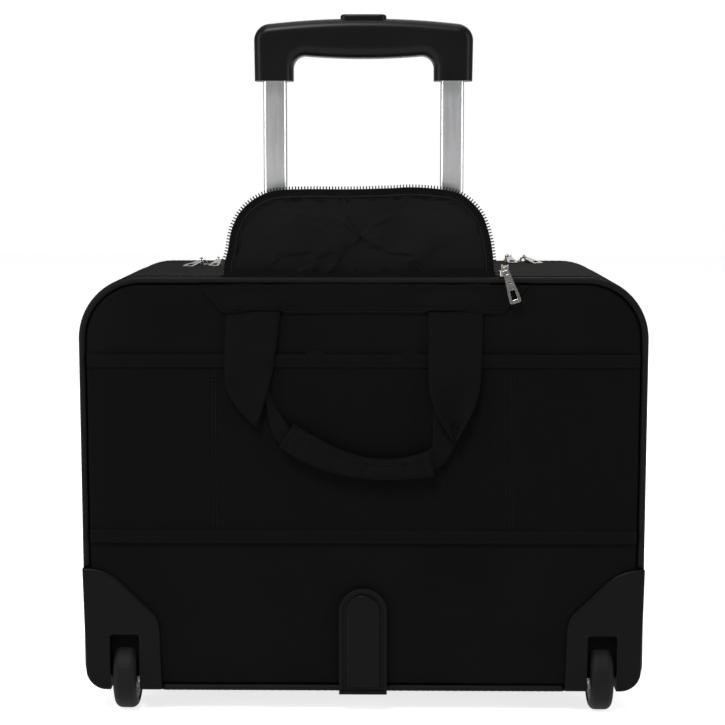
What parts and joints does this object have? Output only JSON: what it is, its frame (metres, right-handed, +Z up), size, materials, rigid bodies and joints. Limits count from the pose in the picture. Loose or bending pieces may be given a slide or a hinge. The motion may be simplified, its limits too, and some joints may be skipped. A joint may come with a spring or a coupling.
{
  "type": "rolling laptop case",
  "caption": "Black nylon rolling laptop case with a telescopic trolley handle, zipped handle bay, webbing carry handles, inline wheels and a hinged front section.",
  "frame": {"origin": "on the floor under the centre of the case's bounding box", "axes": "+Z up, -Y is the rear with the wheels and trolley handle, +Y is the front, +X is to the right as seen from the rear"},
  "size_m": [0.4502, 0.2401, 0.5434],
  "materials": {
    "ballistic_nylon": "woven black nylon, faint sheen",
    "ribbed_nylon": "vertical rib weave",
    "webbing": "woven black webbing",
    "grosgrain": "grosgrain binding tape",
    "piping_vinyl": "covered piping",
    "lining": "grey polyester lining",
    "board": "stiffener sheet",
    "moulded_black": "moulded, fine grain",
    "grip_black": "moulded, satin",
    "button_black": "satin",
    "tube_aluminium": "anodised silver",
    "bush_black": "acetal",
    "steel": "zinc plated",
    "dark_metal": "gunmetal zip hardware",
    "wheel_rubber": "dark polyurethane",
    "wheel_hub": "moulded hub"
  },
  "bodies": {
    "shell": {"rear_panel": "ballistic_nylon", "piping_cords": "piping_vinyl", "main_gusset": "ballistic_nylon", "back_board": "board", "base_board": "board", "rear_band": "ribbed_nylon", "rear_trim": "grosgrain", "bay_tray": "moulded_black", "trolley_cover": "board", "laptop_divider": "lining", "trolley_foot": "moulded_black", "outer_tubes": "tube_aluminium", "wheel_housings": "moulded_black", "case_screws": "steel", "wheel_axles": "steel", "wheel_bearings": "steel", "skid_rail": "moulded_black", "front_feet": "moulded_black", "front_base_panel": "ballistic_nylon", "d_ring_tabs": "webbing", "main_zip_tape": "grosgrain", "flap_slider": "dark_metal"},
    "organizer_section": {"lid_gusset": "ballistic_nylon", "lid_partition": "lining", "lid_zip_tapes": "grosgrain", "organizer_pocket": "lining"},
    "front_door": {"door_panel": "ballistic_nylon", "door_gusset": "ballistic_nylon", "door_piping": "piping_vinyl", "door_zip_tape": "grosgrain", "front_pocket": "ballistic_nylon", "door_trim": "ballistic_nylon"},
    "trolley_stage1": {"stage1_tubes": "tube_aluminium", "stage1_bushes": "bush_black"},
    "trolley_stage2": {"stage2_tubes": "tube_aluminium", "stage2_bushes": "bush_black"},
    "trolley_grip": {"stage3_tubes": "tube_aluminium", "lock_blocks": "bush_black", "grip_upper": "grip_black", "grip_lower": "grip_black", "grip_screws": "steel", "button_spring": "steel"},
    "grip_button": {"push_button": "button_black", "push_rods": "steel"},
    "left_lock_pin": {"lock_pin_left": "steel"},
    "right_lock_pin": {"lock_pin_right": "steel"},
    "left_wheel": {"tyre_left": "wheel_rubber", "hub_left": "wheel_hub"},
    "right_wheel": {"tyre_right": "wheel_rubber", "hub_right": "wheel_hub"},
    "handle_bay_flap": {"bay_flap": "ballistic_nylon"},
    "rear_carry_handle": {"rear_handle": "webbing"},
    "front_carry_handle": {"front_handle": "webbing"},
    "main_zip_slider": {"main_slider": "dark_metal"},
    "main_zip_pull": {"main_pull": "dark_metal"},
    "front_zip_slider": {"front_slider": "dark_metal"},
    "front_zip_pull": {"front_pull": "dark_metal"},
    "flap_zip_pull": {"flap_pull": "dark_metal"},
    "left_d_ring": {"d_ring_left": "steel"},
    "right_d_ring": {"d_ring_right": "steel"}
  },
  "joints": [
    {"name": "stage1_slide", "type": "slide", "parent": "shell", "child": "trolley_stage1", "axis": [0, 0, 1], "range_m": [0, 0.2]},
    {"name": "stage2_slide", "type": "slide", "parent": "trolley_stage1", "child": "trolley_stage2", "axis": [0, 0, 1], "range_m": [0, 0.2]},
    {"name": "stage3_slide", "type": "slide", "parent": "trolley_stage2", "child": "trolley_grip", "axis": [0, 0, 1], "range_m": [-0.2015, 0]},
    {"name": "button_press", "type": "slide", "parent": "trolley_grip", "child": "grip_button", "axis": [0, 0, -1], "range_m": [0, 0.0045], "stiffness_N_per_m": 1500, "springref_m": -0.001, "deforming": ["button_spring"]},
    {"name": "left_pin_retract", "type": "slide", "parent": "trolley_grip", "child": "left_lock_pin", "axis": [1, 0, 0], "range_m": [0, 0.0027]},
    {"name": "right_pin_retract", "type": "slide", "parent": "trolley_grip", "child": "right_lock_pin", "axis": [-1, 0, 0], "range_m": [0, 0.0027]},
    {"name": "left_wheel_spin", "type": "hinge", "parent": "shell", "child": "left_wheel", "pos_m": [-0.187, -0.088, 0.027], "axis": [1, 0, 0], "continuous": true},
    {"name": "right_wheel_spin", "type": "hinge", "parent": "shell", "child": "right_wheel", "pos_m": [0.187, -0.088, 0.027], "axis": [1, 0, 0], "continuous": true},
    {"name": "flap_fold", "type": "hinge", "parent": "shell", "child": "handle_bay_flap", "pos_m": [0, -0.101, 0.345], "axis": [-1, 0, 0], "range_deg": [-100, 6]},
    {"name": "lid_open", "type": "hinge", "parent": "shell", "child": "organizer_section", "pos_m": [0, 0.104, 0.0995], "axis": [-1, 0, 0], "range_deg": [0, 60]},
    {"name": "door_open", "type": "hinge", "parent": "organizer_section", "child": "front_door", "pos_m": [0, 0.104, 0.0995], "axis": [-1, 0, 0], "range_deg": [0, 50]},
    {"name": "rear_handle_swing", "type": "hinge", "parent": "shell", "child": "rear_carry_handle", "pos_m": [0, -0.1073, 0.318], "axis": [-1, 0, 0], "range_deg": [0, 165]},
    {"name": "front_handle_swing", "type": "hinge", "parent": "front_door", "child": "front_carry_handle", "pos_m": [0, 0.1102, 0.318], "axis": [1, 0, 0], "range_deg": [0, 165]},
    {"name": "main_slider_run", "type": "slide", "parent": "shell", "child": "main_zip_slider", "axis": [1, 0, 0], "range_m": [-0.03, 0.27]},
    {"name": "main_pull_swing", "type": "hinge", "parent": "main_zip_slider", "child": "main_zip_pull", "pos_m": [-0.124, 0.042, 0.3484], "axis": [-1, 0, 0], "range_deg": [0, 170]},
    {"name": "front_slider_run", "type": "slide", "parent": "organizer_section", "child": "front_zip_slider", "axis": [-1, 0, 0], "range_m": [-0.03, 0.27]},
    {"name": "front_pull_swing", "type": "hinge", "parent": "front_zip_slider", "child": "front_zip_pull", "pos_m": [0.124, 0.085, 0.3484], "axis": [-1, 0, 0], "range_deg": [0, 170]},
    {"name": "flap_pull_swing", "type": "hinge", "parent": "shell", "child": "flap_zip_pull", "pos_m": [0.108, -0.1034, 0.352], "axis": [-1, 0, 0], "range_deg": [0, 120]},
    {"name": "left_ring_swing", "type": "hinge", "parent": "shell", "child": "left_d_ring", "pos_m": [-0.2209, -0.012, 0.285], "axis": [0, 1, 0], "range_deg": [0, 80]},
    {"name": "right_ring_swing", "type": "hinge", "parent": "shell", "child": "right_d_ring", "pos_m": [0.2209, -0.012, 0.285], "axis": [0, -1, 0], "range_deg": [0, 80]}
  ],
  "couplings": [
    {"joint": "left_pin_retract", "follows": "button_press", "ratio": 0.6},
    {"joint": "right_pin_retract", "follows": "button_press", "ratio": 0.6}
  ]
}
